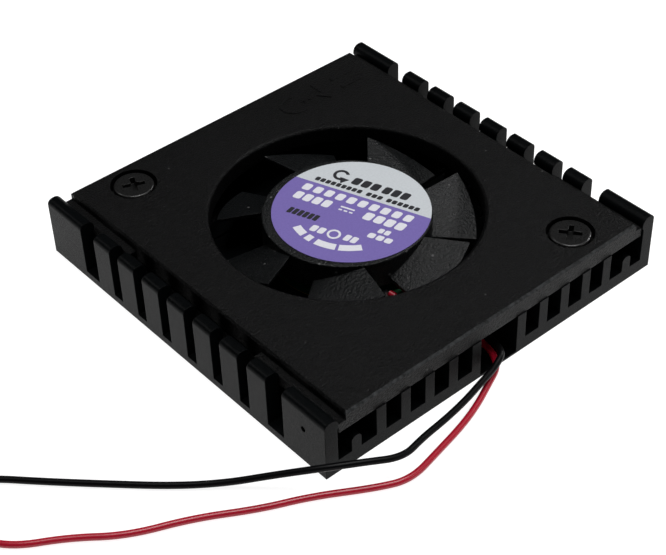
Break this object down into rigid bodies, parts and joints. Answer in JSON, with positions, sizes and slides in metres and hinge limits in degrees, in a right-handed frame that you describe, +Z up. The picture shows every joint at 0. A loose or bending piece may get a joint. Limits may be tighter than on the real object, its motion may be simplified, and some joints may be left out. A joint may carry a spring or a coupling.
{
  "type": "fan-cooled heatsink",
  "caption": "Thin square finned processor cooler with an axial fan set into its middle, under a screwed cover plate, and a lead pair that ends in a coil and a small plug.",
  "frame": {"origin": "on the underside of the base, on the fan's axis, at the middle of the square body", "axes": "+Z up along the fan's axis, Y along the fins, with the leads leaving at -Y, and X across the fins from wall to wall"},
  "size_m": [0.0894, 0.0506, 0.007],
  "materials": {
    "anodised_black": "black anodised, fine satin",
    "coated_black": "satin black with a fine texture",
    "black_steel": "black plated steel",
    "film": "amber insulating film",
    "board": "green circuit board",
    "chip": "black moulded case",
    "component": "ceramic chips",
    "solder": "solder",
    "brass": "machined brass",
    "bronze": "oil-filled sintered bronze",
    "pad": "wear-resistant nylon",
    "core_steel": "silicon steel laminations",
    "former": "natural nylon",
    "copper": "enamelled copper wire",
    "black_plastic": "moulded, fine textured",
    "plated_steel": "zinc-plated pressed steel",
    "magnet": "bonded magnet",
    "shaft_steel": "ground steel",
    "oil_washer": "oil-resistant plastic",
    "label": "printed film",
    "lead_black": "soft insulation",
    "lead_red": "soft insulation",
    "tie": "coated wire tie",
    "plug": "moulded nylon",
    "terminal": "tinned bronze"
  },
  "bodies": {
    "housing": {"heatsink": "anodised_black", "cover_plate": "coated_black", "cover_screws": "black_steel", "insulating_film": "film", "motor_board": "board", "hall_driver_chip": "chip", "board_components": "component", "solder_joints": "solder", "bearing_tube": "brass", "sleeve_bearing": "bronze", "thrust_pad": "pad", "stator_laminations": "core_steel", "lower_former": "former", "upper_former": "former", "winding_1": "copper", "winding_2": "copper", "winding_3": "copper", "winding_4": "copper", "lead_black": "lead_black", "lead_red": "lead_red", "lead_coil": "lead_black", "lead_tie": "tie", "tail_black": "lead_black", "tail_red": "lead_red", "plug_housing": "plug", "plug_terminals": "terminal"},
    "rotor": {"impeller": "black_plastic", "rotor_yoke": "plated_steel", "magnet_ring": "magnet", "shaft": "shaft_steel", "shaft_insert": "brass", "retaining_clip": "pad", "oil_washer": "oil_washer", "hub_label": "label"}
  },
  "joints": [
    {"name": "impeller_spin", "type": "hinge", "parent": "housing", "child": "rotor", "pos_m": [0, 0, 0.004], "axis": [0, 0, 1], "continuous": true}
  ]
}
